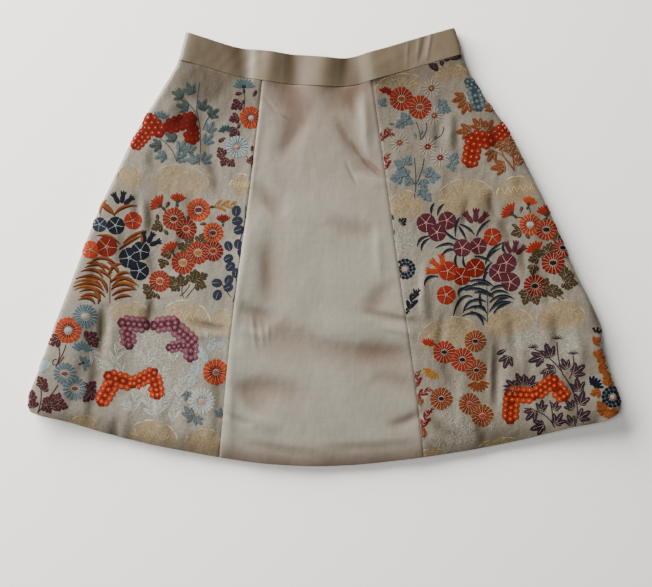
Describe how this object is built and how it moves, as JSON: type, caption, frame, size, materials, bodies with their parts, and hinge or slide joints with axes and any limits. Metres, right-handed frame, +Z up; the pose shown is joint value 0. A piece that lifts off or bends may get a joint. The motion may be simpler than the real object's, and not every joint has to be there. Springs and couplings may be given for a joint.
{
  "type": "mini skirt",
  "caption": "Flared mini skirt laid flat, with a plain satin centre panel, figured brocade side panels and a straight satin waistband.",
  "frame": {"origin": "middle of the skirt's bounding box, on the surface that it lies on", "axes": "+X to the viewer's right across the hem, +Y from the hem towards the waist, +Z up from the surface, out of the front"},
  "size_m": [0.6351, 0.4704, 0.0174],
  "materials": {
    "satin": "plain greige satin with a soft sheen",
    "brocade": "beige silk brocade with flowers, leaves and gold hills woven in coloured and metallic thread",
    "band_satin": "plain taupe satin, pressed and stiffened"
  },
  "bodies": {
    "root": {"front_centre": "satin", "front_left": "brocade", "front_right": "brocade", "back_left": "satin", "back_right": "satin", "waistband_front": "band_satin", "waistband_back_left": "band_satin", "waistband_back_right": "band_satin"}
  },
  "joints": []
}
